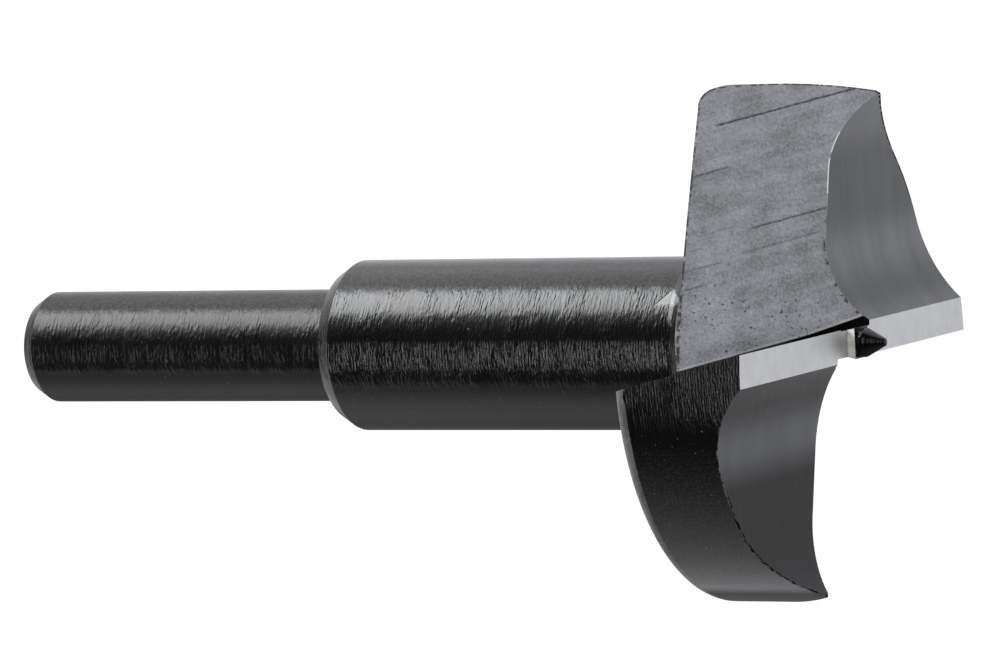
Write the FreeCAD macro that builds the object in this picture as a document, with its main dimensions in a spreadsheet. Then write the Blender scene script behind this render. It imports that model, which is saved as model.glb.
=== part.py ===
"""Forstner bit for a 45 mm flat-bottomed hole, turned and milled from one piece of steel.

The bit is modelled along its own axis, with its tip up and the cutting lips at height zero:
a turned blank, two chip gullets, the hollow-ground front form, the slots at the roots of the
gullets and the centre point. It is then laid on its side, the way it comes to rest on a table.
Millimetres and degrees, +Z up.
"""

import FreeCAD, Part
import math
import os

import Sketcher

# Every size that a designer would change by itself, each written once.
SIZES = {
    # Shank: the round end that a drill chuck grips.
    "shank_diameter": 10.0,
    "shank_length": 32.0,
    "shank_chamfer_depth": 0.8,
    "shank_chamfer_length": 1.3,
    # Neck: the thicker bar between the shank and the head.
    "neck_diameter": 15.2,
    "neck_length": 37.2,
    "neck_chamfer_depth": 0.9,
    "neck_chamfer_length": 1.45,
    "neck_fillet": 1.5,
    # Head: the disc that carries the lips. Its rear face falls back towards the neck.
    "head_diameter": 45.0,
    "rim_height": 12.3,
    "rear_angle": 2.9,
    "rear_round": 1.25,
    # Lips: two ground lands, one on each side of the axis.
    "lip_offset": 1.31,
    "land_width": 2.9,
    "land_clearance": 2.2,
    # Front form behind each land: down an arc, along a floor and up an arc to the spur.
    "form_depth": 3.25,
    "relief_radius": 10.1,
    "spur_radius": 7.9,
    "spur_reach": 20.9,
    "spur_drop": 0.25,
    # Gullets: square-cornered cuts in front of each lip.
    "rake_angle": 14.2,
    "wall_angle": 41.5,
    "gullet_reach": 3.26,
    # Slots ground along the roots of the gullets. They run out towards the rear.
    "slot_length": 12.4,
    "slot_rise": 0.78,
    "slot_drop": 0.15,
    "slot_depth": 0.12,
    "slot_mouth": 4.4,
    # Centre: a low boss left between the lands, and the guide point on it.
    "boss_half_width": 1.34,
    "boss_height": 0.65,
    "point_diameter": 2.6,
    "point_shoulder": 1.13,
    "point_height": 3.0,
    "point_tip_diameter": 0.6,
    # How far a cutting profile runs past the stock that it removes.
    "overrun": 3.0,
}
WINGS = 2

doc = FreeCAD.newDocument("forstner_bit")
sheet = doc.addObject("Spreadsheet::Sheet", "Sizes")
for row, (alias, value) in enumerate(SIZES.items(), start=1):
    sheet.set(f"A{row}", alias)
    sheet.set(f"B{row}", str(value))
    sheet.setAlias(f"B{row}", alias)
doc.recompute()

body = doc.addObject("PartDesign::Body", "ForstnerBit")
body.Label = "forstner_bit"
ORIGIN = {feature.Role: feature for feature in body.Origin.OriginFeatures}


def value_of(expression):
    """The number that an expression over the sheet gives."""
    return float(sheet.evalExpression(expression))


def bind(target, path, expression):
    """Set a property from the sheet and keep it tied to the sheet."""
    target.setExpression(path, expression)


def arc_between(start, end, radius):
    """The arc from start to end that turns left, or right for a negative radius."""
    chord = end - start
    left = FreeCAD.Vector(-chord.y, chord.x, 0).normalize()
    height = math.sqrt(radius**2 - (chord.Length / 2) ** 2)
    centre = (start + end) / 2 + left * math.copysign(height, radius)
    first, last = (start, end) if radius > 0 else (end, start)
    angles = [math.atan2(corner.y - centre.y, corner.x - centre.x) for corner in (first, last)]
    circle = Part.Circle(centre, FreeCAD.Vector(0, 0, 1), abs(radius))
    return Part.ArcOfCircle(circle, *angles)


def draw(sketch, corners, arcs=None):
    """Draw a closed outline and tie each of its corners to the sheet.

    A corner is a pair of expressions. An edge is straight, unless arcs gives a radius
    expression under the number of the corner that the edge leaves.
    """
    arcs = arcs or {}
    count = len(corners)
    places = [FreeCAD.Vector(value_of(x), value_of(y), 0) for x, y in corners]
    for index, start in enumerate(places):
        end = places[(index + 1) % count]
        if index in arcs:
            sketch.addGeometry(arc_between(start, end, value_of(arcs[index])), False)
        else:
            sketch.addGeometry(Part.LineSegment(start, end), False)
    turns_right = {index: value_of(arcs[index]) < 0 for index in arcs}
    for index, (x, y) in enumerate(corners):
        first = 2 if turns_right.get(index) else 1
        before = (index - 1) % count
        last_of_before = 1 if turns_right.get(before) else 2
        sketch.addConstraint(
            Sketcher.Constraint("Coincident", before, last_of_before, index, first)
        )
        for kind, axis, expression in (("DistanceX", -2, x), ("DistanceY", -1, y)):
            if expression == "0":
                sketch.addConstraint(Sketcher.Constraint("PointOnObject", index, first, axis))
                continue
            number = sketch.addConstraint(
                Sketcher.Constraint(kind, -1, 1, index, first, value_of(expression))
            )
            bind(sketch, f"Constraints[{number}]", expression)
        if index in arcs:
            radius = f"abs({arcs[index]})"
            number = sketch.addConstraint(
                Sketcher.Constraint("Radius", index, value_of(radius))
            )
            bind(sketch, f"Constraints[{number}]", radius)


def sketch_on(name, support):
    """A new sketch of the body, flat on a plane of that body."""
    sketch = body.newObject("Sketcher::SketchObject", name)
    sketch.AttachmentSupport = [(support, "")]
    sketch.MapMode = "FlatFace"
    return sketch


def opposite_wing(feature, name):
    """Repeat a cut of one wing on the other."""
    pattern = body.newObject("PartDesign::PolarPattern", name)
    pattern.Originals = [feature]
    pattern.Axis = (ORIGIN["Z_Axis"], [""])
    pattern.Angle = 360
    pattern.Occurrences = WINGS
    body.Tip = pattern
    doc.recompute()
    return pattern


def ring(feature, radius, height):
    """The name of the round edge that has this radius at this height."""
    for number, edge in enumerate(feature.Shape.Edges, start=1):
        curve = edge.Curve
        if not isinstance(curve, Part.Circle):
            continue
        if abs(curve.Radius - radius) < 1e-4 and abs(curve.Center.z - height) < 1e-4:
            return f"Edge{number}"
    raise ValueError(f"no round edge of radius {radius} at height {height}")


def must_remove(before, after, name):
    """A cut that points away from the stock removes nothing and shows no error."""
    removed = before.Shape.Volume - after.Shape.Volume
    print(f"{name}: removed {removed:.1f} cubic mm")
    if removed < 0.1:
        raise ValueError(f"{name} removed nothing")


# The turned blank: half of its section, from the axis out, revolved about the bit's axis.
END = "-(Sizes.rim_height + Sizes.neck_length + Sizes.shank_length)"
SHOULDER = "-(Sizes.rim_height + Sizes.neck_length)"
NECK_RADIUS = "Sizes.neck_diameter / 2"
HEAD_RADIUS = "Sizes.head_diameter / 2"
REAR_AT_NECK = f"-Sizes.rim_height - tan(Sizes.rear_angle) * ({HEAD_RADIUS} - {NECK_RADIUS})"

# The section is turned about the axis, so that the seam of the turned surfaces falls inside a
# wing, clear of the edges that the gullets leave.
SEAM = FreeCAD.Placement(FreeCAD.Vector(), FreeCAD.Rotation(FreeCAD.Vector(0, 1, 0), 45))
section = sketch_on("BlankSection", ORIGIN["XZ_Plane"])
section.AttachmentOffset = SEAM
draw(
    section,
    [
        ("0", END),
        ("Sizes.shank_diameter / 2 - Sizes.shank_chamfer_depth", END),
        ("Sizes.shank_diameter / 2", f"{END} + Sizes.shank_chamfer_length"),
        ("Sizes.shank_diameter / 2", SHOULDER),
        (f"{NECK_RADIUS} - Sizes.neck_chamfer_depth", SHOULDER),
        (NECK_RADIUS, f"{SHOULDER} + Sizes.neck_chamfer_length"),
        (NECK_RADIUS, REAR_AT_NECK),
        (HEAD_RADIUS, "-Sizes.rim_height"),
        (HEAD_RADIUS, "Sizes.boss_height"),
        ("0", "Sizes.boss_height"),
    ],
)
blank = body.newObject("PartDesign::Revolution", "Blank")
blank.Profile = section
blank.ReferenceAxis = (ORIGIN["Z_Axis"], [""])
blank.Angle = 360
doc.recompute()

neck_fillet = body.newObject("PartDesign::Fillet", "NeckFillet")
neck_fillet.Base = (blank, [ring(blank, value_of(NECK_RADIUS), value_of(REAR_AT_NECK))])
bind(neck_fillet, "Radius", "Sizes.neck_fillet")
doc.recompute()

rear_round = body.newObject("PartDesign::Fillet", "RearRound")
rear_edge = ring(neck_fillet, value_of(HEAD_RADIUS), value_of("-Sizes.rim_height"))
rear_round.Base = (neck_fillet, [rear_edge])
bind(rear_round, "Radius", "Sizes.rear_round")
doc.recompute()

# The rake plane holds one cutting edge and leans back from it by the rake angle. Its X runs
# along the lip, its Y forward in the rake face, and its Z down into the wing.
rake_plane = body.newObject("PartDesign::Plane", "RakePlane")
rake_plane.AttachmentSupport = [(ORIGIN["XY_Plane"], "")]
rake_plane.MapMode = "FlatFace"
rake_plane.AttachmentOffset = FreeCAD.Placement(
    FreeCAD.Vector(0, value_of("Sizes.lip_offset"), 0),
    FreeCAD.Rotation(FreeCAD.Vector(1, 0, 0), value_of("90 - Sizes.rake_angle")),
)
bind(rake_plane, "AttachmentOffset.Base.y", "Sizes.lip_offset")
bind(rake_plane, "AttachmentOffset.Rotation.Angle", "90 - Sizes.rake_angle")
doc.recompute()

# A gullet is one square-cornered cut. Seen along the rake face, its wall is a straight line
# that passes behind the axis at the front and runs out beside the neck at the rear. The cut
# leans back as it leaves the rake face, so its outline starts well ahead of the lips.
LEAN = f"{HEAD_RADIUS} * tan(Sizes.rake_angle)"
AHEAD = f"(Sizes.boss_height + {LEAN} + Sizes.overrun)"
BEHIND = "(Sizes.rim_height + Sizes.neck_fillet + Sizes.overrun)"
ASIDE = f"-({HEAD_RADIUS} + Sizes.overrun)"
gullet_sketch = sketch_on("GulletOutline", rake_plane)
draw(
    gullet_sketch,
    [
        (f"Sizes.gullet_reach + {AHEAD} * tan(Sizes.wall_angle)", AHEAD),
        (ASIDE, AHEAD),
        (ASIDE, f"-{BEHIND}"),
        (f"Sizes.gullet_reach - {BEHIND} * tan(Sizes.wall_angle)", f"-{BEHIND}"),
    ],
)
gullet = body.newObject("PartDesign::Pocket", "Gullet")
gullet.Profile = gullet_sketch
gullet.Type = 1
doc.recompute()
must_remove(rear_round, gullet, "gullet")
gullets = opposite_wing(gullet, "Gullets")
must_remove(gullet, gullets, "second gullet")

# The front form, drawn across the lip: the land with its clearance, the relief arc down to
# the floor, and the arc up to the spur, which is stoned flat just below the lips.
LAND_END = "(Sizes.land_width - Sizes.lip_offset)"
LAND_DROP = "(Sizes.land_width * tan(Sizes.land_clearance))"
RELIEF_RISE = f"(Sizes.form_depth - {LAND_DROP})"
SPUR_RISE = "(Sizes.form_depth - Sizes.spur_drop)"
RELIEF_RUN = f"sqrt({RELIEF_RISE} * (2 * Sizes.relief_radius - {RELIEF_RISE}))"
SPUR_RUN = f"sqrt({SPUR_RISE} * (2 * Sizes.spur_radius - {SPUR_RISE}))"
form_sketch = sketch_on("FrontForm", ORIGIN["YZ_Plane"])
form_sketch.AttachmentOffset = FreeCAD.Placement(
    FreeCAD.Vector(0, 0, value_of("Sizes.boss_half_width")), FreeCAD.Rotation()
)
bind(form_sketch, "AttachmentOffset.Base.z", "Sizes.boss_half_width")
CLEAR = "Sizes.boss_height + Sizes.overrun"
OUTSIDE = f"{HEAD_RADIUS} + Sizes.overrun"
draw(
    form_sketch,
    [
        ("-Sizes.lip_offset", "0"),
        (LAND_END, f"-{LAND_DROP}"),
        (f"{LAND_END} + {RELIEF_RUN}", "-Sizes.form_depth"),
        (f"Sizes.spur_reach - {SPUR_RUN}", "-Sizes.form_depth"),
        ("Sizes.spur_reach", "-Sizes.spur_drop"),
        (OUTSIDE, "-Sizes.spur_drop"),
        (OUTSIDE, CLEAR),
        ("-Sizes.lip_offset - Sizes.overrun", CLEAR),
        ("-Sizes.lip_offset - Sizes.overrun", "0"),
    ],
    arcs={1: "Sizes.relief_radius", 3: "Sizes.spur_radius"},
)
form = body.newObject("PartDesign::Pocket", "FrontFormCut")
form.Profile = form_sketch
form.Type = 1
form.Reversed = True
doc.recompute()
must_remove(gullets, form, "front form")
forms = opposite_wing(form, "FrontForms")
must_remove(form, forms, "second front form")

# The slot: a thin wedge ground into the gullet's wall along its root. The sketch lies in front
# of the wall, with X forward along the root and Y up the wall, and the cut goes into the wall.
slot_sketch = sketch_on("SlotOutline", rake_plane)
turn = FreeCAD.Rotation(value_of("90 - Sizes.wall_angle"), 0, -90)
MOUTH_X = "Sizes.gullet_reach - Sizes.slot_mouth * cos(Sizes.wall_angle)"
MOUTH_Y = "Sizes.slot_mouth * sin(Sizes.wall_angle)"
slot_sketch.AttachmentOffset = FreeCAD.Placement(
    FreeCAD.Vector(value_of(MOUTH_X), value_of(MOUTH_Y), 0), turn
)
bind(slot_sketch, "AttachmentOffset.Base.x", MOUTH_X)
bind(slot_sketch, "AttachmentOffset.Base.y", MOUTH_Y)
bind(slot_sketch, "AttachmentOffset.Rotation.Yaw", "90 - Sizes.wall_angle")
PAST_FRONT = "Sizes.overrun"
GROWTH = "(1 + Sizes.overrun / Sizes.slot_length)"
draw(
    slot_sketch,
    [
        ("-Sizes.slot_length", "0"),
        (PAST_FRONT, f"-Sizes.slot_drop * {GROWTH}"),
        (PAST_FRONT, f"Sizes.slot_rise * {GROWTH}"),
    ],
)
slot = body.newObject("PartDesign::Pocket", "Slot")
slot.Profile = slot_sketch
bind(slot, "Length", "Sizes.slot_mouth + Sizes.slot_depth")
doc.recompute()
must_remove(forms, slot, "slot")
slots = opposite_wing(slot, "Slots")
must_remove(slot, slots, "second slot")

# The guide point that centres the bit: a short cylinder and a blunt cone.
point_sketch = sketch_on("PointSection", ORIGIN["XZ_Plane"])
point_sketch.AttachmentOffset = SEAM
draw(
    point_sketch,
    [
        ("0", "0"),
        ("Sizes.point_diameter / 2", "0"),
        ("Sizes.point_diameter / 2", "Sizes.point_shoulder"),
        ("Sizes.point_tip_diameter / 2", "Sizes.point_height"),
        ("0", "Sizes.point_height"),
    ],
)
point = body.newObject("PartDesign::Revolution", "CentrePoint")
point.Profile = point_sketch
point.ReferenceAxis = (ORIGIN["Z_Axis"], [""])
point.Angle = 360
body.Tip = point
doc.recompute()


def lowest(points, down):
    """The point that lies furthest in the direction down."""
    return max(points, key=lambda place: place.dot(down))


def resting_side(shape, down):
    """The direction that points down once the bit has come to rest.

    It rests on three points: the rim of the shank's end, and the head on each side of the
    gullet that faces the table. The plane through them is found again until it stays.
    """
    points, _ = shape.tessellate(0.01)
    middle = value_of(f"{SHOULDER} / 2")
    axis = FreeCAD.Vector(0, 0, 1)
    for _ in range(20):
        side = axis.cross(down)
        head = [place for place in points if place.z > middle]
        tail = lowest([place for place in points if place.z <= middle], down)
        left = lowest([place for place in head if place.dot(side) > 0], down)
        right = lowest([place for place in head if place.dot(side) <= 0], down)
        plane = (left - tail).cross(right - tail).normalize()
        plane = plane if plane.dot(down) > 0 else -plane
        if (plane - down).Length < 1e-9:
            break
        down = plane
    return down


def laid_down(shape):
    """The placement that lays the bit on the table, centred on the origin, tip towards +X."""
    gullet_side = FreeCAD.Vector(0.79, -0.61, 0).normalize()
    up = -resting_side(shape, gullet_side)
    along = FreeCAD.Vector(0, 0, 1)
    along = (along - up * along.dot(up)).normalize()
    turn = FreeCAD.Rotation(along, up.cross(along), up, "XYZ").inverted()
    box = shape.transformed(FreeCAD.Placement(FreeCAD.Vector(), turn).toMatrix(), True)
    box = box.optimalBoundingBox(False, False)
    corner = FreeCAD.Vector(-box.Center.x, -box.Center.y, -box.ZMin)
    return FreeCAD.Placement(corner, turn)


body.Placement = laid_down(body.Shape)
doc.recompute()

for item in doc.Objects:
    if "Invalid" in item.State or "Error" in item.State:
        raise ValueError(f"{item.Label} failed: {item.State}")
shape = body.Shape
if shape.isNull() or not shape.isValid() or len(shape.Solids) != 1:
    raise ValueError("the bit is not one valid solid")

bounds = shape.optimalBoundingBox(False, False)
print(f"box {bounds.XLength:.3f} x {bounds.YLength:.3f} x {bounds.ZLength:.3f} mm")
print(f"volume {shape.Volume:.1f} cubic mm, faces {len(shape.Faces)}")
axis_up = body.Placement.Rotation.multVec(FreeCAD.Vector(0, 0, 1))
print(f"axis leans up by {math.degrees(math.asin(axis_up.z)):.2f} degrees")

os.makedirs("parts", exist_ok=True)
shape.exportStep(f"parts/{body.Label}.step")
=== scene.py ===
# %% [markdown]
# # A forstner bit on a studio table
#
# The bit is one piece of steel: a round shank, a thicker neck and a head with two wings. The
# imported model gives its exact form. This lesson adds what a camera sees on that form: turned
# and milled finishes, black oxide, bright ground lands and the small wear along the edges.

import math

import bmesh
import bpy
import numpy as np
from mathutils import Euler, Matrix, Vector


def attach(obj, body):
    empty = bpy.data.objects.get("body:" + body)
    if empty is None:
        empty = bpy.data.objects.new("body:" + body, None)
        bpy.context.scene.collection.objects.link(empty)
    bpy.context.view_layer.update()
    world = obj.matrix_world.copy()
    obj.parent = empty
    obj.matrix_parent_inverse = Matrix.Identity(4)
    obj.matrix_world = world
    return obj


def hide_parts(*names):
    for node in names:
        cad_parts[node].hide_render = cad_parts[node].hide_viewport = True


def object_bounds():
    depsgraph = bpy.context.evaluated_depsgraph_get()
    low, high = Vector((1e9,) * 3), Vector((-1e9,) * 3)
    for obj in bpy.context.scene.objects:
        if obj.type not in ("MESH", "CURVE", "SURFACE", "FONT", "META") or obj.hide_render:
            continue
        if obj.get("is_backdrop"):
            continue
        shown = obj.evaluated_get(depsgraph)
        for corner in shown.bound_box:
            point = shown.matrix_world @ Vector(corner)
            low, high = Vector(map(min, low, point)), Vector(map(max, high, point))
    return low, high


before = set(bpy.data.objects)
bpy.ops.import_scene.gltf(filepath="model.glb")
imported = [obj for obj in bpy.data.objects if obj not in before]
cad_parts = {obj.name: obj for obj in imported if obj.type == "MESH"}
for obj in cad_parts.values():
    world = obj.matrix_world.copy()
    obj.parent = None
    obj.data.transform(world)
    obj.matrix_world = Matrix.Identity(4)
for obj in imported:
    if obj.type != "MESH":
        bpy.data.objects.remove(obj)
cad_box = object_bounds()
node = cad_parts["forstner_bit"]
print(f"{node.name}: {len(node.data.polygons)} triangles")

# %% [markdown]
# ## The bit's own axes
#
# The bit lies on the table, so its axis is tilted and turned in the scene. Every finish on it
# follows the machine that made it: rings about the axis, milling lines along a gullet. Each
# formula could carry that turn along, but one step into the bit's own axes is simpler. They
# are in millimetres, with z along the axis towards the point, z = 0 at the cutting lips, and
# x along the lips.

# %% The bit's own axes
MM = 0.001
BIT_AT = Vector((39.0526, 0.0, 17.8365)) * MM
BIT_TURN = Euler([math.radians(angle) for angle in (75.7833, 49.0887, 79.1612)], "XYZ")
TURN = np.array(BIT_TURN.to_matrix())
SHANK_END, POINT_END = -81.5, 3.0


def to_scene(points):
    """Places given in the bit's own millimetres, as scene metres: turn, scale, then shift."""
    return points @ TURN.T * MM + np.array(BIT_AT)


def to_bit(points):
    """Scene metres as the bit's own millimetres: the same steps backwards."""
    return (points - np.array(BIT_AT)) @ TURN / MM


axis = to_scene(np.array([[0, 0, SHANK_END], [0, 0, POINT_END]]))
print("shank end and point in the scene, mm:", np.round(axis / MM, 2).tolist())

# %% [markdown]
# ## Camera
#
# The photograph is taken from above with a long lens, rolled so that the bit's axis lies
# level in the picture. A short lens close by could show as much, but it would draw the
# nearer end of the bit too large. The long lens keeps both ends at nearly the same scale.

# %% Camera
lens = bpy.data.cameras.new("camera")
lens.sensor_width = 36.0
lens.lens = 288.26
lens.clip_start, lens.clip_end = 0.01, 20.0
camera = bpy.data.objects.new("camera", lens)
camera.location = (0.2501526, -0.3494380, 0.5775884)
camera.rotation_euler = [math.radians(angle) for angle in (34.65900, 14.24295, 15.44046)]
bpy.context.scene.collection.objects.link(camera)
bpy.context.scene.camera = camera
bpy.context.scene.view_settings.view_transform = "Standard"
CAMERA_TURN = camera.rotation_euler.to_matrix()
CAMERA_UP, CAMERA_BACK = CAMERA_TURN.col[1].copy(), CAMERA_TURN.col[2].copy()
print("camera looks along", tuple(round(c, 3) for c in -CAMERA_BACK))

# %% [markdown]
# ## Values that vary over a surface
#
# A finish is arithmetic on the place of a point: how far it is from an edge, which groove of
# the turning it lies on. Blender does such sums in Math nodes, which could be added one by
# one. This small class wraps a node's output instead, so that a line of Python such as
# `1 - wear * 0.5` adds the nodes and still reads as a formula.


# %% Values that vary over a surface
class Value:
    """One output of a surface's nodes. Sums, products and powers of it add Math nodes."""

    def __init__(self, surface, socket):
        self.surface, self.socket = surface, socket

    def math(self, operation, *others):
        """The result of a Math node whose first number is this one."""
        numbers = dict(enumerate((self, *others)))
        return self.surface.node("ShaderNodeMath", {"operation": operation}, numbers)

    def __add__(self, other):
        return self.math("ADD", other)

    def __sub__(self, other):
        return self.math("SUBTRACT", other)

    def __mul__(self, other):
        return self.math("MULTIPLY", other)

    def __truediv__(self, other):
        return self.math("DIVIDE", other)

    def __pow__(self, other):
        return self.math("POWER", other)

    def __rsub__(self, other):
        return self.surface.node("ShaderNodeMath", {"operation": "SUBTRACT"}, {0: other, 1: self})

    def __abs__(self):
        return self.math("ABSOLUTE")

    __radd__ = __add__
    __rmul__ = __mul__

    def least(self, other):
        """The smaller of the two."""
        return self.math("MINIMUM", other)

    def most(self, other):
        """The larger of the two. On two masks it joins them."""
        return self.math("MAXIMUM", other)

    def step(self, start, end):
        """0 where the value is at start, 1 where it is at end, and smooth between them."""
        sockets = {"Value": self, "From Min": start, "From Max": end}
        settings = {"interpolation_type": "SMOOTHSTEP"}
        return self.surface.node("ShaderNodeMapRange", settings, sockets)

    def within(self, low, high, soft):
        """1 between low and high, fading to 0 over the length soft outside them."""
        return self.step(low - soft, low) * self.step(high + soft, high)


print("a value can be added, multiplied, divided, raised, stepped and joined")

# %% [markdown]
# ## Surfaces
#
# A surface is a material with its nodes. Every node comes from one method, so that a formula
# never has to name a link. Some places mirror nothing: nicks, and undersides where a dull dark
# grey is painted shade from the table beneath. A lower index of refraction can't give that,
# because every smooth surface mirrors at a flat angle, so `dull` mixes in a Diffuse shader.


# %% Surfaces
class Surface:
    """A material and its nodes."""

    def __init__(self, name):
        self.material = bpy.data.materials.new(name)
        self.material.use_nodes = True
        self.tree = self.material.node_tree
        self.shader = self.tree.nodes["Principled BSDF"]
        self.look = Value(self, self.shader.outputs[0])

    def feed(self, made, sockets):
        """Set a node's sockets to numbers or colours, or link them to values."""
        for key, value in sockets.items():
            if isinstance(value, Value):
                self.tree.links.new(value.socket, made.inputs[key])
            else:
                made.inputs[key].default_value = value

    def node(self, kind, settings=None, sockets=None, output=0):
        """Add a node: first its settings, then the numbers or links of its sockets."""
        made = self.tree.nodes.new(kind)
        for key, value in (settings or {}).items():
            setattr(made, key, value)
        self.feed(made, sockets or {})
        return Value(self, made.outputs[output])

    def vector(self, x, y, z=0.0):
        """Three values as one vector."""
        return self.node("ShaderNodeCombineXYZ", sockets={0: x, 1: y, 2: z})

    def noise(self, vector, scale=1.0, detail=2.0, roughness=0.5):
        """Cloudy noise from 0 to 1 with its mean at a half; scale counts its grains a unit."""
        sockets = {"Vector": vector, "Scale": scale, "Detail": detail, "Roughness": roughness}
        return self.node("ShaderNodeTexNoise", sockets=sockets)

    def blend(self, amount, colour, other):
        """colour where amount is 0 and other where it is 1."""
        sockets = {0: amount, 6: colour, 7: other}
        return self.node("ShaderNodeMix", {"data_type": "RGBA"}, sockets, output=2)

    def dull(self, amount, colour):
        """Where amount is 1 the surface is a dull colour without any shine."""
        matt = self.node("ShaderNodeBsdfDiffuse", sockets={"Color": colour})
        self.look = self.node("ShaderNodeMixShader", sockets={0: amount, 1: self.look, 2: matt})
        self.feed(self.tree.nodes["Material Output"], {0: self.look})

    def paint(self, colour, roughness, relief=None, **others):
        """Feed the shader. relief is a height in millimetres; others are its other sockets."""
        if relief is not None:
            bump = {"Height": relief, "Distance": MM}
            others["Normal"] = self.node("ShaderNodeBump", sockets=bump)
        self.feed(self.shader, {"Base Color": colour, "Roughness": roughness, **others})
        return self.material


def grey(level, warmth=0.0):
    """A grey of that linear brightness, warmer than neutral, or cooler where warmth is below 0."""
    return (level * (1 + warmth), level * (1 + warmth * 0.6), level * (1 - warmth), 1.0)


print("a warm grey:", [round(c, 3) for c in grey(0.5, 0.02)])

# %% [markdown]
# ## Finishes
#
# A finish is a surface of the bit. Its formulas need a point's place in the bit's own
# millimetres, and the place has to stay on the steel when the bit is moved. Blender's Object
# coordinates do stay on it, and a Mapping node turns them into the bit's axes. Half a turn
# more lets the same formula draw on the other wing.


# %% Finishes
class Finish(Surface):
    """A material of the bit, with the bit's own millimetres to draw on."""

    def __init__(self, name, half_turn=False):
        super().__init__(name)
        angles = BIT_TURN
        if half_turn:
            angles = (BIT_TURN.to_matrix() @ Matrix.Rotation(math.pi, 3, "Z")).to_euler("XYZ")
        place = self.node("ShaderNodeTexCoord", output="Object")
        sockets = {"Vector": place, "Location": BIT_AT, "Rotation": angles, "Scale": (MM,) * 3}
        self.place = self.node("ShaderNodeMapping", {"vector_type": "TEXTURE"}, sockets)
        split = self.node("ShaderNodeSeparateXYZ", sockets={0: self.place}).socket.node
        self.x, self.y, self.z = (Value(self, part) for part in split.outputs)
        self.radius = (self.x * self.x + self.y * self.y) ** 0.5

    def stretched(self, across, along):
        """The place, scaled by across in x and y and by along in z."""
        sockets = {0: self.place, 1: (across, across, along)}
        return self.node("ShaderNodeVectorMath", {"operation": "MULTIPLY"}, sockets)


print("a finish is turned by", [round(math.degrees(angle), 1) for angle in BIT_TURN], "degrees")

# %% [markdown]
# ## Table
#
# The ground in the photograph is plain white without a shadow. A white floor under strong
# lights would come close, but its brightness would change with every light. A sheet lit from
# behind glows by itself: here it runs out flat under the bit and curves up behind it. Black
# steel shows its surroundings like dark glass, so the glow fades out in front of the bit,
# where the bar's lower side turns dark, and grows stronger towards the back.

# %% Table
SHEET_FLAT, SHEET_BEND, SHEET_WALL = 2.2, 0.5, 0.8
SHEET_FRONT, SHEET_HALF_WIDTH = -1.6, 1.8
FRONT_GLOW = {"From Min": -0.120, "To Min": 0.12, "From Max": -0.034, "To Max": 1.0}
REAR_GLOW = {"From Min": 0.08, "To Min": 0.0, "From Max": 0.40, "To Max": 0.9}
GLOW_TINT = (1.0, 1.005, 1.035)


def sheet_section(run):
    """Depth and height of the sheet: flat, then a quarter circle, then upright."""
    bend = SHEET_BEND * math.pi / 2
    length = run * (SHEET_FLAT + bend + SHEET_WALL)
    turn = np.clip((length - SHEET_FLAT) / SHEET_BEND, 0, math.pi / 2)
    depth = SHEET_FRONT + np.minimum(length, SHEET_FLAT) + SHEET_BEND * np.sin(turn)
    height = SHEET_BEND * (1 - np.cos(turn)) + np.maximum(length - SHEET_FLAT - bend, 0)
    return depth, height


def grid_mesh(name, points, closed=False):
    """A mesh of four-sided faces on a grid of points, rows by columns by three."""
    rows, columns = points.shape[:2]
    number = np.arange(rows * columns).reshape(rows, columns)
    if closed:
        number = np.hstack([number, number[:, :1]])
    corners = [number[:-1, :-1], number[:-1, 1:], number[1:, 1:], number[1:, :-1]]
    faces = np.stack(corners, axis=-1).reshape(-1, 4)
    mesh = bpy.data.meshes.new(name)
    mesh.from_pydata(points.reshape(-1, 3).tolist(), [], faces.tolist())
    return mesh


def link(name, mesh):
    """An object of that mesh, in the scene."""
    made = bpy.data.objects.new(name, mesh)
    bpy.context.scene.collection.objects.link(made)
    return made


depth, height = sheet_section(np.linspace(0.0, 1.0, 90))
wide = np.linspace(-SHEET_HALF_WIDTH, SHEET_HALF_WIDTH, 25)
sheet_points = np.stack(np.broadcast_arrays(wide, depth[:, None], height[:, None]), axis=-1)
sheet = link("table_sheet", grid_mesh("table_sheet", sheet_points))
sheet.data.shade_smooth()
paper = Surface("white_paper")
place = paper.node("ShaderNodeTexCoord", output="Object")
depth_here = paper.node("ShaderNodeSeparateXYZ", sockets={0: place}, output="Y")
front_glow, rear_glow = (
    paper.node("ShaderNodeMapRange", sockets={"Value": depth_here, **ramp})
    for ramp in (FRONT_GLOW, REAR_GLOW)
)
tinted = {0: front_glow + rear_glow, 1: GLOW_TINT}
glow = paper.node("ShaderNodeVectorMath", {"operation": "MULTIPLY"}, tinted)
dark_base = {"Specular IOR Level": 0.0, "Emission Strength": 1.0, "Emission Color": glow}
sheet.data.materials.append(paper.paint(grey(0.06), 1.0, **dark_base))
sheet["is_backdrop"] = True
print("the sheet spans", np.round(sheet_points.reshape(-1, 3).min(0), 2).tolist())

# %% [markdown]
# ## Light
#
# Each light is placed by what the bar mirrors, because on black steel a light is seen as its
# reflection. A turned bar spreads its mirror directions over a cone about its own axis, and
# one angle on that cone, counted from the camera towards the top of the picture, says where
# a light shows on the bar. Trying places by eye would take far longer.

# %% Light
HEAD_MIDDLE = Vector((0.0, 0.0, 0.015))
AXIS = Vector(TURN[:, 2])
FROM_THE_SIDE = Vector((0.72, -0.17, 0.67)).normalized()
LIGHT_TINT = (0.975, 0.985, 1.0)
ROOM_COLOUR, ROOM_STRENGTH = (0.49, 0.50, 0.53, 1), 0.15


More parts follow.
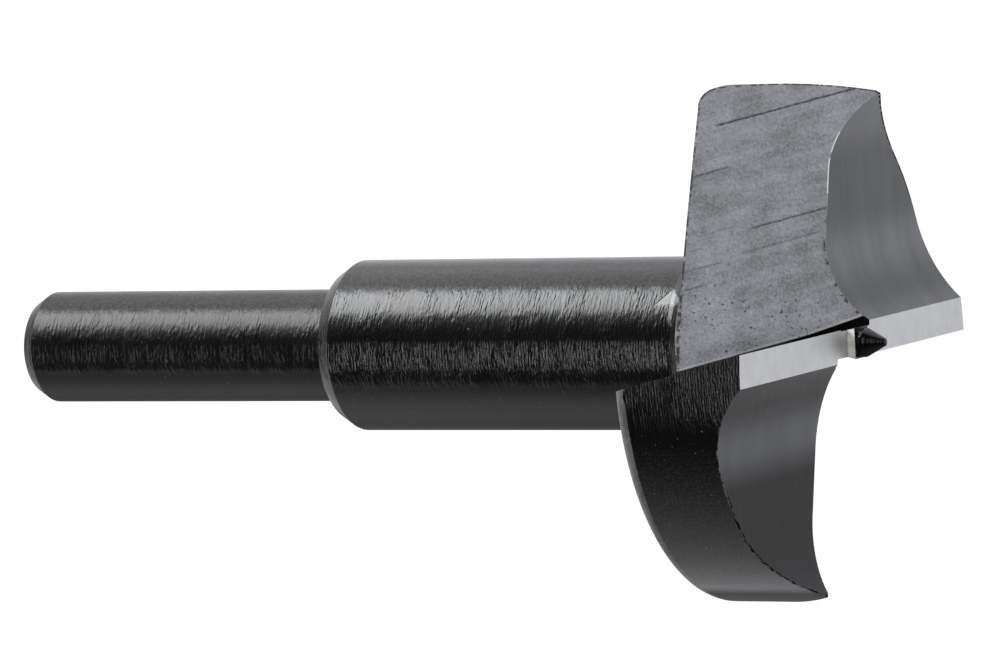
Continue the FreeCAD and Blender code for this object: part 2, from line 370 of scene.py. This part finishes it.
def mirror_cone(angle, lean=0.0):
    """Where the bar mirrors the camera at that angle, leaned that far towards the point.

    The direction is k a + sqrt(1 - k^2) (cos(angle) e0 + sin(angle) e1), where a is the axis,
    k its share in the mirrored view, and e0 points at the camera and e1 up the picture.
    """
    share = -CAMERA_BACK.dot(AXIS) + math.sin(math.radians(lean))
    e0 = (CAMERA_BACK - AXIS * CAMERA_BACK.dot(AXIS)).normalized()
    e1 = AXIS.cross(e0)
    e1 = e1 if e1.dot(CAMERA_UP) > 0 else -e1
    turn = math.radians(angle)
    return AXIS * share + (e0 * math.cos(turn) + e1 * math.sin(turn)) * math.sqrt(1 - share**2)


def softbox(name, towards, distance, size, power):
    """A rectangle of light that faces the bit, with its first side along the bit's axis."""
    light = bpy.data.lights.new(name, "AREA")
    light.shape = "RECTANGLE"
    light.size, light.size_y = size
    light.energy = power
    light.color = LIGHT_TINT
    made = bpy.data.objects.new(name, light)
    made.location = HEAD_MIDDLE + towards * distance
    right = (AXIS - towards * AXIS.dot(towards)).normalized()
    made.rotation_euler = Matrix((right, towards.cross(right), towards)).transposed().to_euler()
    bpy.context.scene.collection.objects.link(made)
    radiance = power / (math.pi * size[0] * size[1])
    print(f"{name}: towards {[round(c, 2) for c in towards]}, radiance {radiance:.2f}")


softbox("key_softbox", mirror_cone(60, lean=-9), distance=1.6, size=(1.0, 0.85), power=45)
softbox("front_strip", mirror_cone(-17, lean=12), distance=2.0, size=(0.32, 1.0), power=9)
softbox("side_softbox", FROM_THE_SIDE, distance=1.2, size=(0.9, 0.9), power=5.6)
world = bpy.context.scene.world or bpy.data.worlds.new("studio")
bpy.context.scene.world = world
world.use_nodes = True
world.node_tree.nodes["Background"].inputs["Color"].default_value = ROOM_COLOUR
world.node_tree.nodes["Background"].inputs["Strength"].default_value = ROOM_STRENGTH

# %% [markdown]
# ## Shapes that the finishes follow
#
# Wear, nicks and stains sit along edges. Each edge of the head is where two simple surfaces
# meet: planes, cylinders and a cone. So a point on one face is near the edge where its
# distance to the other surface is small, and that needs no painted map. Both wings are alike
# half a turn apart, so one distance serves both: `back`, from the centre line between the
# lips towards the spur.

# %% Shapes that the finishes follow
HEAD_RADIUS, RIM_HEIGHT, REAR_ROUND = 22.5, 12.3, 1.25
REAR_ANGLE, RAKE, WALL = math.radians(2.9), math.radians(14.2), math.radians(41.5)
LIP_OFFSET, GULLET_REACH = 1.31, 3.26
LAND_CLEARANCE, LAND_END = math.radians(2.2), 1.59
RELIEF_AT, RELIEF_RADIUS = (8.908, 6.85), 10.1
SPUR_AT, SPUR_RADIUS = (14.703, 4.65), 7.9


def back_from_lips(finish):
    """Distance from the centre line between the lips back across either wing: y sign(x)."""
    return finish.y * finish.x.math("SIGN")


def above_rake(finish):
    """Height above the rake plane of the near wing, which leans back through its lip."""
    return (finish.y - LIP_OFFSET) * math.cos(RAKE) - finish.z * math.sin(RAKE)


def along_root(finish):
    """Distance along the root of the gullet, where its wall meets the rake plane."""
    along_rake = (finish.y - LIP_OFFSET) * math.sin(RAKE) + finish.z * math.cos(RAKE)
    return finish.x * math.sin(WALL) + along_rake * math.cos(WALL)


def above_front(finish, back):
    """Height above the front form: a land, then a hollow of two arcs with a floor between."""
    relief_run = (RELIEF_AT[0] - back).most(0.0)
    relief_rise = RELIEF_AT[1] - finish.z
    relief = RELIEF_RADIUS - (relief_run * relief_run + relief_rise * relief_rise) ** 0.5
    spur_run = (back - SPUR_AT[0]).most(0.0)
    spur_rise = SPUR_AT[1] - finish.z
    spur = SPUR_RADIUS - (spur_run * spur_run + spur_rise * spur_rise) ** 0.5
    land = finish.z + (back.least(LAND_END) + LIP_OFFSET) * math.tan(LAND_CLEARANCE)
    return relief.least(spur).most(land)


def behind_rear(finish):
    """Distance inside the rear face, a flat cone that falls back towards the neck."""
    return finish.z + RIM_HEIGHT + (HEAD_RADIUS - finish.radius) * math.tan(REAR_ANGLE)


def inside_outline(finish):
    """Distance inside the outline of rim, round and rear face: r - sqrt(a^2 + b^2).

    r is the round's radius, and a and b are how far a place is past the arc's centre.
    """
    from_rim = (REAR_ROUND - abs(HEAD_RADIUS - finish.radius)).most(0.0)
    from_rear = (REAR_ROUND - abs(behind_rear(finish))).most(0.0)
    return REAR_ROUND - (from_rim * from_rim + from_rear * from_rear) ** 0.5


print(f"a head of {2 * HEAD_RADIUS} mm with a rim {RIM_HEIGHT} mm high")

# %% [markdown]
# ## Turning marks
#
# The lathe tool travels a little with each turn and leaves fine grooves about the axis. It
# also tears and chatters, so the grooves are broken into short strokes. Noise squeezed along
# the axis makes such strokes, and a few hundredths of a millimetre of relief are enough to
# break up the reflection of a light. Cut into the mesh, they would take millions of faces.


# %% Turning marks
GROOVE_DEPTH = 0.006
STROKE_SHARE, RING_SHARE = 0.42, 0.13


def feed_grooves(finish, feed, sway=16.0):
    """The tool's grooves, sin(2 pi z / feed) with feed its travel in one turn.

    They sway a little and are broken into dashes where the steel is smooth.
    """
    wander = finish.noise(finish.stretched(0.45, 0.8), detail=1.0)
    groove = (finish.z * (2 * math.pi / feed) + wander * sway).math("SINE")
    return groove * finish.noise(finish.stretched(0.7, 2.4), detail=1.0).step(0.36, 0.60)


def turning_marks(finish, grooves, pitch, depth):
    """Relief of the turning, in millimetres. Pitch is the width of the torn strokes."""
    strokes = finish.noise(finish.stretched(1.2, 1 / pitch), detail=1.0, roughness=0.6)
    rings = finish.noise(finish.stretched(0.06, 0.7 / pitch), detail=1.0)
    patches = finish.noise(finish.stretched(0.25, 0.55), detail=1.0).step(0.30, 0.68)
    torn = strokes * (pitch * STROKE_SHARE) + rings * (pitch * RING_SHARE)
    return (torn + grooves * GROOVE_DEPTH) * (0.45 + patches * 0.55) * depth


print(f"grooves {GROOVE_DEPTH} mm deep in relief")

# %% [markdown]
# ## Black oxide on the bar
#
# The black oxide over the turned steel shines like dark glass. The grooves are finer than a
# pixel, so they go into its colour too, as painted glints: light dashes where the bar is lit.
# The upper side is a little lighter grey, and dust lies all over. One patch beside the head is
# partly scraped and partly a painted highlight, where the fillet catches the light. The
# underside is painted shade: it mirrors nothing and is a dull dark grey, as over the shadow of
# the table. Each of these has its place around the bar, which `side` gives as a sine: it runs
# from -1 at the underside to 1 at the upper side.

# %% Black oxide on the bar
OXIDE_BLACK, DEEP_BLACK = grey(0.0012), grey(0.004)
# Next: a grey for dust and the lighter upper side, a light grey for a patch that is partly scraped
# and partly a painted highlight, and a dull dark grey that is painted shade on the underside.
DUST_AND_UPPER_GREY, SCRAPED_AND_HIGHLIGHT, UNDERSIDE_SHADE = grey(0.22, 0.02), grey(0.14), grey(0.040)
PATCH_AT, PATCH_TAPER = -14.5, 0.12
LEAST_BAR_RADIUS = 4.9


def turned_black(name, shine, dullness=0.18, pitch=0.24, feed=0.275, depth=1.0, streak=0.06):
    """Turned steel under black oxide: dust, a lighter top, painted glints, highlight and shade.

    Shine is the index of refraction, which sets how strongly the oxide mirrors, dullness its
    roughness without dust, and streak the brightness of the painted glints.
    """
    finish = Finish(name)
    side = finish.y / finish.radius.most(LEAST_BAR_RADIUS)
    grooves = feed_grooves(finish, feed)
    marked = side.within(-0.30, 0.74, 0.14) * (0.85 - side.step(0.1, 0.4) * 0.43)
    # A light patch beside the head, partly scraped and partly a painted highlight where the fillet
    # catches the light.
    scraped_and_highlight = (side + abs(finish.z - PATCH_AT) * PATCH_TAPER).step(0.71, 0.69)
    scraped_and_highlight = scraped_and_highlight * side.step(0.50, 0.56) * finish.x.step(1.0, -1.0)
    marks = turning_marks(finish, grooves, pitch, depth) * (0.12 + marked) * (1.0 - scraped_and_highlight)
    dust = finish.noise(finish.place, scale=3.2).step(0.70, 0.76)
    roughness = dullness + finish.noise(finish.place, scale=0.35) * 0.12 + dust * 0.2
    # The upper side a little lighter grey.
    upper_grey = finish.noise(finish.stretched(3.0, 3.0), detail=3.0).step(0.35, 0.66)
    upper_grey = upper_grey * side.step(0.55, 0.75) * 0.07
    # Painted glints: the grooves as light dashes in the band where the bar is lit.
    lit = (grooves * side.within(-0.16, 0.10, 0.06)).most(0.0)
    colour = finish.blend(upper_grey.most(dust * 0.25), OXIDE_BLACK, DUST_AND_UPPER_GREY)
    colour = finish.blend(lit, colour, grey(streak))
    colour = finish.blend(scraped_and_highlight, colour, SCRAPED_AND_HIGHLIGHT)
    # Painted shade: the underside mirrors nothing and is a dull dark grey, as over the shadow of
    # the table.
    finish.dull(side.step(-0.58, -0.92) * 0.9, UNDERSIDE_SHADE)
    return finish.paint(colour, roughness, marks, IOR=shine)


oxide = turned_black("turned_black_oxide", shine=1.34)
duller = {"dullness": 0.24, "pitch": 0.27, "feed": 0.5, "depth": 1.05, "streak": 0.015}
shank_oxide = turned_black("shank_black_oxide", shine=1.27, **duller)
print("finishes:", oxide.name, shank_oxide.name)

# %% [markdown]
# ## The bar: shank and neck
#
# Shank and neck are one turned bar. The profile is a list of corners (height, radius), each
# broken by a small round as a file leaves it, and carried about the axis. A bevel on the
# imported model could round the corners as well, but its long thin triangles would show in the
# reflections, and a turned grid has even faces.

# %% The bar
BAR_ROUND, MOST_OF_A_RUN = 0.08, 0.4
WELD_BAR, SHARP_BAR = 1e-7, math.radians(50)
SHANK_RADIUS, NECK_RADIUS = 5.0, 7.6
SHOULDER, FILLET_START = -49.5, -14.48
HEIGHT_SLACK = 0.01


def rounded(corners, radius, steps=4):
    """A profile through corners, each rounded by an arc that touches both of its runs.

    The arc is a blend of the tangent points and the corner: (1-t)^2 a + 2t(1-t) c + t^2 b.
    """
    corners = np.asarray(corners, float)
    rows = [corners[:1]]
    t = np.linspace(0, 1, steps + 1)[:, None]
    for before, corner, after in zip(corners[:-2], corners[1:-1], corners[2:]):
        run_in, run_out = before - corner, after - corner
        a = corner + run_in * min(radius / np.linalg.norm(run_in), MOST_OF_A_RUN)
        b = corner + run_out * min(radius / np.linalg.norm(run_out), MOST_OF_A_RUN)
        rows.append((1 - t) ** 2 * a + 2 * t * (1 - t) * corner + t**2 * b)
    return np.vstack([*rows, corners[-1:]])


def turned(name, profile, sides):
    """A closed surface of revolution: (r cos a, r sin a, z) over angle a and profile (z, r)."""
    angle = np.linspace(0, 2 * math.pi, sides, endpoint=False)
    z, r = profile[:, :1], profile[:, 1:]
    points = np.stack(np.broadcast_arrays(r * np.cos(angle), r * np.sin(angle), z), axis=-1)
    mesh = grid_mesh(name, to_scene(points.reshape(-1, 3)).reshape(points.shape), closed=True)
    piece = link(name, mesh)
    weld = bmesh.new()
    weld.from_mesh(mesh)
    bmesh.ops.remove_doubles(weld, verts=weld.verts, dist=WELD_BAR)
    weld.to_mesh(mesh)
    weld.free()
    mesh.shade_smooth()
    mesh.set_sharp_from_angle(angle=SHARP_BAR)
    return piece


def per_face(mesh, name):
    """A vector of each face, such as its normal or its center, as rows of three."""
    rows = np.empty(len(mesh.polygons) * 3)
    mesh.polygons.foreach_get(name, rows)
    return rows.reshape(-1, 3)


bar_corners = [
    (SHANK_END, 0.0),
    (SHANK_END, 4.2),
    (SHANK_END + 1.3, SHANK_RADIUS),
    (SHOULDER, SHANK_RADIUS),
    (SHOULDER, 6.7),
    (SHOULDER + 1.45, NECK_RADIUS),
    (FILLET_START, NECK_RADIUS),
    (FILLET_START + 0.05, NECK_RADIUS - 0.03),
    (FILLET_START + 1.0, NECK_RADIUS - 0.1),
    (FILLET_START + 1.2, 0.0),
]
bar = turned("shank_and_neck", rounded(bar_corners, BAR_ROUND), sides=256)
bar.data.materials.append(oxide)
bar.data.materials.append(shank_oxide)
on_shank = to_bit(per_face(bar.data, "center"))[:, 2] < SHOULDER - HEIGHT_SLACK
bar.data.polygons.foreach_set("material_index", on_shank.astype(np.int32))
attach(bar, "root")
print(f"{bar.name}: {len(bar.data.polygons)} faces")

# %% [markdown]
# ## Milled walls
#
# A gullet's wall is milled. The cutter leaves a dull grey face, mottled where the oxide took
# unevenly, with pits. It also leaves a few dark lines, each at one height above the root,
# because the cutter travels along the root. The root is painted dark as shade, with a painted
# highlight just above it. The outline behind is worn dark, the edge to the front form is
# chipped near the lip and has a painted highlight, strongest near the spur. The rake faces in
# front of the walls are milled alike but carry no lines.


# %% Milled walls
WALL_DARK, WALL_LIGHT = grey(0.12, -0.03), grey(0.42, -0.04)
DARK_MARKS_AND_SHADE, EDGE_HIGHLIGHT = grey(0.010), grey(0.85)
ROOT_LINES = [(0.0629, 0.644), (0.0057, 0.455)]
FAR_LINES = [
    (20.03, -6.0, 6.6, 0.95),
    (16.27, -9.6, -6.5, 0.65),
    (11.17, -10.3, -7.2, 0.35),
    (10.66, -5.4, 1.0, 0.75),
    (8.50, -12.6, -9.6, 0.40),
    (8.80, -7.0, -0.2, 0.35),
    (7.00, -13.0, -11.2, 0.55),
]
NEAR_LINES = [(18.2, -7.0, 3.0, 0.7), (13.1, -10.0, -3.0, 0.6), (6.4, -12.0, 0.0, 0.5)]


def pits_and_lines(finish, height, run, lines):
    """A mask of pits and of the cutter's lines.

    lines holds rows of height above the root, start and end along the root, and depth.
    """
    wander = (finish.noise(finish.vector(run * 0.8, height * 0.2)) - 0.5) * 0.16
    ragged = finish.noise(finish.vector(run * 3.0, height * 6.0)).step(0.35, 0.6)
    pits = finish.noise(finish.place, scale=3.4, detail=1.0).step(0.665, 0.71)
    pitted = finish.noise(finish.place, scale=0.16, detail=1.0).step(0.46, 0.60)
    dark = pits * pitted * finish.y.step(12.0, 8.0) * 0.8
    for at, start, end, depth in lines:
        line = abs(height - at + wander).step(0.15, 0.02) * run.within(start, end, 0.6)
        dark = dark.most(line * (0.55 + ragged * 0.45) * depth)
    return dark


def milled(name, half_turn, lines):
    """A milled face. One with cutter lines is a wall, with painted shade and highlight at its
    root.

    The root follows two straight lines, each a rise per millimetre and a height.
    """
    finish = Finish(name, half_turn)
    height, run, back = above_rake(finish), along_root(finish), back_from_lips(finish)
    cloud = finish.noise(finish.place, scale=0.28, detail=4.0, roughness=0.6)
    grain = finish.noise(finish.place, scale=4.5, detail=3.0, roughness=0.7)
    streak = finish.noise(finish.vector(run * 0.10, height * 1.1), detail=3.0, roughness=0.6)
    level = 0.5 + (cloud - 0.5) * 0.9 + (grain - 0.5) * 0.95 + (streak - 0.5) * 0.5
    dark = pits_and_lines(finish, height, run, lines)
    nicks = finish.noise(finish.place, scale=2.0)
    worn = inside_outline(finish).step(0.22, 0.05) * nicks.step(0.44, 0.53) * 0.9
    front = abs(above_front(finish, back))
    chips = front.step(0.30, 0.08) * nicks.step(0.52, 0.60) * back.step(13.0, 8.0)
    # Painted highlights along the edge to the front form, strongest near the spur.
    shine = back.within(16.3, 17.8, 0.2).most(back.within(12.8, 15.6, 0.2))
    bright = front.step(0.11, 0.04) * (0.05 + shine * 0.80)
    # A wall's root is painted dark as shade, with a painted highlight just above it.
    if lines:
        near_end, far_end = (run * rise + start for rise, start in ROOT_LINES)
        above_root = height - near_end.most(far_end)
        dark = dark.most(above_root.step(0.03, -0.03))
        bright = bright.most(abs(above_root - 0.13).step(0.12, 0.04) * 0.25)
    colour = finish.blend(level.step(0.0, 1.0), WALL_DARK, WALL_LIGHT)
    colour = finish.blend(dark.most(worn).most(chips), colour, DARK_MARKS_AND_SHADE)
    colour = finish.blend(bright, colour, EDGE_HIGHLIGHT)
    relief = grain * 0.010 - dark * 0.02
    return finish.paint(colour, 0.50 + level * 0.1, relief, Metallic=0.35)


far_wall = milled("milled_wall_far", False, FAR_LINES)
near_wall = milled("milled_wall_near", True, NEAR_LINES)
rake_face = milled("milled_rake_face", False, [])
print("finishes:", far_wall.name, near_wall.name, rake_face.name)

# %% [markdown]
# ## Rim
#
# The rim is turned and black like the neck, with finer marks. Near the lips it is torn, with
# painted glints on its grooves, and further round it is smooth with a fine grain. Its front
# edge is rubbed bright in places, partly a painted highlight, and nicked in others. Its lower
# side is painted shade: it mirrors less and is a dull grey at the bottom, as shade from the
# table beneath. The round behind it touches everything that the bit is laid on, so it is
# rubbed to a dull grey.


# %% Rim
# The rim's greys: painted shade at the bottom, painted glints near the lips, and a light grey for
# dust, grain and the bright front edge, which is partly a painted highlight.
RIM_BOTTOM, RIM_DASHES, RIM_SPECKS_AND_HIGHLIGHT = grey(0.05), grey(0.018), grey(0.35)


def rim_black(name):
    """The turned rim: nicks and bright places, partly painted highlight, along its front edge."""
    finish = Finish(name)
    back, side = back_from_lips(finish), finish.y / finish.radius
    smooth = abs(finish.y).step(5.0, 10.0)
    grooves = feed_grooves(finish, feed=0.28, sway=6.0)
    marks = turning_marks(finish, grooves, pitch=0.16, depth=0.55) * (1.0 - smooth * 0.85)
    nicks = finish.noise(finish.place, scale=2.2)
    front = abs(above_front(finish, back))
    # Bright dashes along the front edge: partly rubbed wear, partly a painted highlight.
    bright = front.step(0.18, 0.04) * nicks.step(0.44, 0.56) * back.within(6.0, 15.0, 3.0) * 0.4
    grain = finish.noise(finish.place, scale=5.0).step(0.40, 0.75) * smooth * 0.055
    dust = finish.noise(finish.place, scale=3.0, detail=1.0).step(0.73, 0.78) * 0.25
    nick = front.step(0.20, 0.08) * nicks.step(0.48, 0.54) * back.step(11.0, 13.0)
    # Painted shade: the lower side mirrors less, mixed in with the dark nicks on the front edge.
    finish.dull(nick.most(side.step(-0.36, -0.20) * 0.35), DEEP_BLACK)
    # Painted shade: a dull grey at the very bottom, as shade from the table beneath.
    finish.dull(side.step(-0.885, -0.93) * 0.85, RIM_BOTTOM)
    # Painted glints: light dashes on the grooves near the lips.
    lit = (grooves * abs(finish.y).step(6.5, 3.5)).most(0.0)
    colour = finish.blend(lit, OXIDE_BLACK, RIM_DASHES)
    colour = finish.blend(bright.most(dust).most(grain), colour, RIM_SPECKS_AND_HIGHLIGHT)
    return finish.paint(colour, 0.20 + smooth * 0.10 + bright * 0.2, marks, IOR=1.31)


def worn_round(name):
    """The round behind the rim, rubbed to a dull grey."""
    finish = Finish(name)
    cloud = finish.noise(finish.stretched(0.3, 1.2))
    specks = finish.noise(finish.place, scale=2.5).step(0.58, 0.66)
    colour = finish.blend(cloud.step(0.3, 0.7), grey(0.065, -0.03), grey(0.125, -0.03))
    colour = finish.blend(specks * 0.5, colour, grey(0.20))
    return finish.paint(colour, 0.5, cloud * 0.004, IOR=1.3)


rim, rear_round = rim_black("turned_rim"), worn_round("worn_rear_round")
print("finishes:", rim.name, rear_round.name)

# %% [markdown]
# ## Front forms
#
# The hollow front forms are ground to a smooth satin grey. They are hollow, so each part of
# them mirrors another part of the room, and the far one looks much lighter than the near one.
# The lights alone don't give that on a rough face, so the grey itself is painted with it: a
# painted reflection, with a painted sheen across the hollow. The edge at the rim is nicked.


# %% Front forms
SATIN_DARK, SATIN_LIGHT = grey(0.0, -0.03), grey(0.20, -0.03)


def satin_form(name):
    """Satin grey of both front forms, far and near, with painted reflections back across a wing.
    """
    finish = Finish(name)
    back = back_from_lips(finish)
    sweep = finish.noise(finish.vector(finish.x * 0.35, back * 0.05))
    grain = finish.noise(finish.vector(finish.x * 5.0, back * 0.7, finish.z * 0.7), detail=3.0)
    sheen = back.step(3.5, 7.0) * back.step(11.0, 7.6)
    far = 0.41 + sheen * 0.26 + back.step(3.5, 1.5) * 0.15 + back.step(15.0, 18.5) * 0.23
    near = 0.03 + sheen * 0.36 + back.step(15.0, 20.0) * 0.03
    level = near + (far - near) * finish.x.step(-0.5, 0.5)
    level = level * (1.0 + (sweep - 0.5) * 0.7 + (grain - 0.5) * 0.5)
    rim_edge = (HEAD_RADIUS - finish.radius).step(0.26, 0.12)
    nicks = finish.noise(finish.place, scale=2.0).step(0.44, 0.50)
    finish.dull(rim_edge * nicks * back.step(9.5, 12.0), DEEP_BLACK)
    colour = finish.blend(level, SATIN_DARK, SATIN_LIGHT)
    return finish.paint(colour, 0.44 + (grain - 0.5) * 0.2, grain * 0.002, IOR=1.22)


satin = satin_form("satin_front_form")
print("finish:", satin.name)

# %% [markdown]
# ## Lands, boss and slots
#
# The lands behind the lips are ground last, after blackening, so they are bare metal and the
# brightest part. The boss at the centre is ground too. The slots at the roots of the gullets
# are so narrow that hardly any light comes out of them.


# %% Lands, boss and slots
def ground_land(name):
    """Bare steel with fine grinding lines along y."""
    finish = Finish(name)
    grind = finish.noise(finish.vector(finish.x * 6.0, finish.y * 0.5), detail=3.0)
    level = grind * 0.5 + finish.noise(finish.place, scale=0.5) * 0.5
    colour = finish.blend(level.step(0.3, 0.7), grey(0.43, -0.01), grey(0.50, -0.01))
    return finish.paint(colour, 0.42, grind * 0.003, Metallic=1.0)


def plain(name, colour, roughness, shine):
    """One colour with clouds that are a quarter darker."""
    finish = Finish(name)
    cloud = finish.noise(finish.place, scale=2.0, detail=3.0)
    darker = (*(part * 0.75 for part in colour[:3]), 1.0)
    colour = finish.blend(cloud.step(0.35, 0.65), colour, darker)
    return finish.paint(colour, roughness, cloud * 0.004, IOR=shine)


BOSS_COLOUR = (1.0, 0.95, 0.87, 1)
land = ground_land("ground_land")
boss = plain("ground_boss", BOSS_COLOUR, roughness=0.42, shine=1.5)
slot_black = plain("slot_black", grey(0.003), roughness=0.9, shine=1.15)
print("finishes:", land.name, boss.name, slot_black.name)

# %% [markdown]
# ## The head
#
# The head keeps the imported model's exact surfaces, because no hand-made mesh would follow
# them as closely. A copy of them is welded, and the neck behind the fillet and the guide
# point are taken off, because finer turned surfaces stand there.

# %% Weld a copy of the head
WELD_HEAD = 2e-6
POINT_RADIUS, POINT_FOOT = 1.31, 0.66
head_mesh = node.data.copy()
head_mesh.name = "head"
work = bmesh.new()
work.from_mesh(head_mesh)
bmesh.ops.remove_doubles(work, verts=work.verts, dist=WELD_HEAD)
work.faces.ensure_lookup_table()
centres = to_bit(np.array([face.calc_center_median() for face in work.faces]))
radii = np.hypot(centres[:, 0], centres[:, 1])
behind = centres[:, 2] < FILLET_START - HEIGHT_SLACK
pointed = (radii < POINT_RADIUS) & (centres[:, 2] > POINT_FOOT)
gone = [work.faces[int(i)] for i in np.flatnonzero(behind | pointed)]
bmesh.ops.delete(work, geom=gone, context="FACES")
work.to_mesh(head_mesh)
work.free()
head = link("head", head_mesh)
print(f"head: {len(head_mesh.polygons)} triangles kept, {len(gone)} taken off")

# %% [markdown]
# ## A finish for each face
#
# Each face of the head gets its finish by the surface that it lies on: a plane, the rim, the
# round behind it, or a front form with its land, which alone run straight along x and look
# forward. Cutting the head into a piece for each finish would open seams between them, so
# one mesh carries all the materials. A later finish replaces an earlier one.

# %% A finish for each face
FINISHES = [oxide, far_wall, near_wall, rake_face, rim, satin, land, boss, slot_black, rear_round]
SMOOTH_FINISHES = [FINISHES.index(item) for item in (oxide, rim, satin, rear_round)]
SAME_WAY, OFF_PLANE, STRAIGHT = 0.9995, 0.02, 0.02
SHARP_HEAD = math.radians(24)
if "custom_normal" in head_mesh.attributes:
    head_mesh.attributes.remove(head_mesh.attributes["custom_normal"])
head_mesh.materials.clear()
for item in FINISHES:
    head_mesh.materials.append(item)
normals, middles = per_face(head_mesh, "normal") @ TURN, to_bit(per_face(head_mesh, "center"))
x, y, z = middles.T
radius, back = np.hypot(x, y), y * np.where(x > 0, 1.0, -1.0)
sideways, upward = np.abs(normals[:, 0]), normals[:, 2]
finish_of = np.full(len(middles), FINISHES.index(slot_black))


def give(item, *limits):
    """Give a finish to the faces that are inside all of these limits."""
    finish_of[np.logical_and.reduce(limits)] = FINISHES.index(item)


def on_plane(direction, through, half_turn):
    """Which faces lie on the plane that passes through a place and has that normal."""
    mirror = np.array([-1, -1, 1]) if half_turn else np.ones(3)
    direction, through = direction * mirror, through * mirror
    facing = np.abs(normals @ direction) > SAME_WAY
    return facing & (np.abs((middles - through) @ direction) < OFF_PLANE)


forward = np.array([0, math.sin(RAKE), math.cos(RAKE)])
wall_normal = np.array([math.cos(WALL), 0, 0]) - math.sin(WALL) * forward
wall_point = np.array([GULLET_REACH, LIP_OFFSET, 0])
rake_normal = np.array([0, math.cos(RAKE), -math.sin(RAKE)])
rake_point = np.array([0, LIP_OFFSET, 0])
front = (sideways < STRAIGHT) & (upward > 0.3) & (z < 0.03)
central = (np.abs(x) < 1.40) & (np.abs(y) < 1.5) & (z > -0.5)

give(oxide, (upward < -0.5) | (z < -RIM_HEIGHT))
give(rim, radius > HEAD_RADIUS - 0.2, np.abs(upward) < STRAIGHT)
behind_rim = (radius > HEAD_RADIUS - 1.3) & (z < REAR_ROUND - RIM_HEIGHT)
give(rear_round, behind_rim, upward > -0.97, upward < -STRAIGHT)
give(satin, front)
give(land, front, upward > 0.999, back < LAND_END + 0.03, back > -2)
for half_turn, wall in ((False, far_wall), (True, near_wall)):
    give(wall, on_plane(wall_normal, wall_point, half_turn))
    give(rake_face, on_plane(rake_normal, rake_point, half_turn))
give(boss, central, sideways > 0.99)
give(oxide, z > 0.6)

head_mesh.polygons.foreach_set("material_index", finish_of.astype(np.int32))
head_mesh.shade_smooth()
head_mesh.set_sharp_from_angle(angle=SHARP_HEAD)
head_mesh.polygons.foreach_set("use_smooth", np.isin(finish_of, SMOOTH_FINISHES))
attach(head, "root")
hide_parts("forstner_bit")
print("faces by finish:", np.bincount(finish_of, minlength=len(FINISHES)).tolist())

# %% [markdown]
# ## The guide point
#
# The point is turned last, with a coarse feed, so faint rings show on its cone. They are
# about a hundredth of a millimetre deep. On so short a cone they cost few faces, so they are
# geometry here, and not relief as on the bar.


# %% The guide point
RING_PITCH, RING_DEPTH = 0.21, 0.009
RINGS_FROM, RINGS_TO = 0.7, 2.85
POINT_CORNERS = [(0.55, 0.0), (0.55, 1.30), (1.13, 1.30), (POINT_END, 0.3), (POINT_END, 0.0)]
POINT_ROUND, POINT_ROWS = 0.12, 150
LEAST_POINT_RADIUS = 0.4


def guide_point():
    """A short cylinder and a blunt cone, with rings |RING_DEPTH sin(2 pi z / RING_PITCH)|."""
    coarse = rounded(POINT_CORNERS, POINT_ROUND)
    length = np.r_[0, np.cumsum(np.linalg.norm(np.diff(coarse, axis=0), axis=1))]
    fine = np.linspace(0, length[-1], POINT_ROWS)
    z, r = (np.interp(fine, length, column) for column in coarse.T)
    rings = np.abs(RING_DEPTH * np.sin(2 * math.pi * z / RING_PITCH))
    return np.stack([z, r - np.where((z > RINGS_FROM) & (z < RINGS_TO), rings, 0)], axis=1)


def point_black(name):
    """Black oxide over torn turning marks, with painted shade: dull dark grey on the underside."""
    finish = Finish(name)
    torn = finish.noise(finish.vector(finish.x, finish.y, finish.z * 6.0))
    under = (finish.y / finish.radius.most(LEAST_POINT_RADIUS)).step(-0.1, -0.6)
    # Painted shade: the underside mirrors nothing and is a dull dark grey.
    finish.dull(under * 0.9, grey(0.012))
    return finish.paint(OXIDE_BLACK, 0.16, torn * 0.05, IOR=1.32)


point = turned("guide_point", guide_point(), sides=96)
point.data.materials.append(point_black("turned_point"))
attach(point, "root")
print(f"{point.name}: {len(point.data.polygons)} faces")

# %% [markdown]
# ## Check the sizes
#
# The dressed bit must fill the same box as the imported model, so the largest change
# between the two boxes is printed.

# %% Check the sizes
dressed_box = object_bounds()
change = max(abs(a - b) for i in range(2) for a, b in zip(cad_box[i], dressed_box[i]))
print("largest change of the box, mm:", round(change / MM, 3))
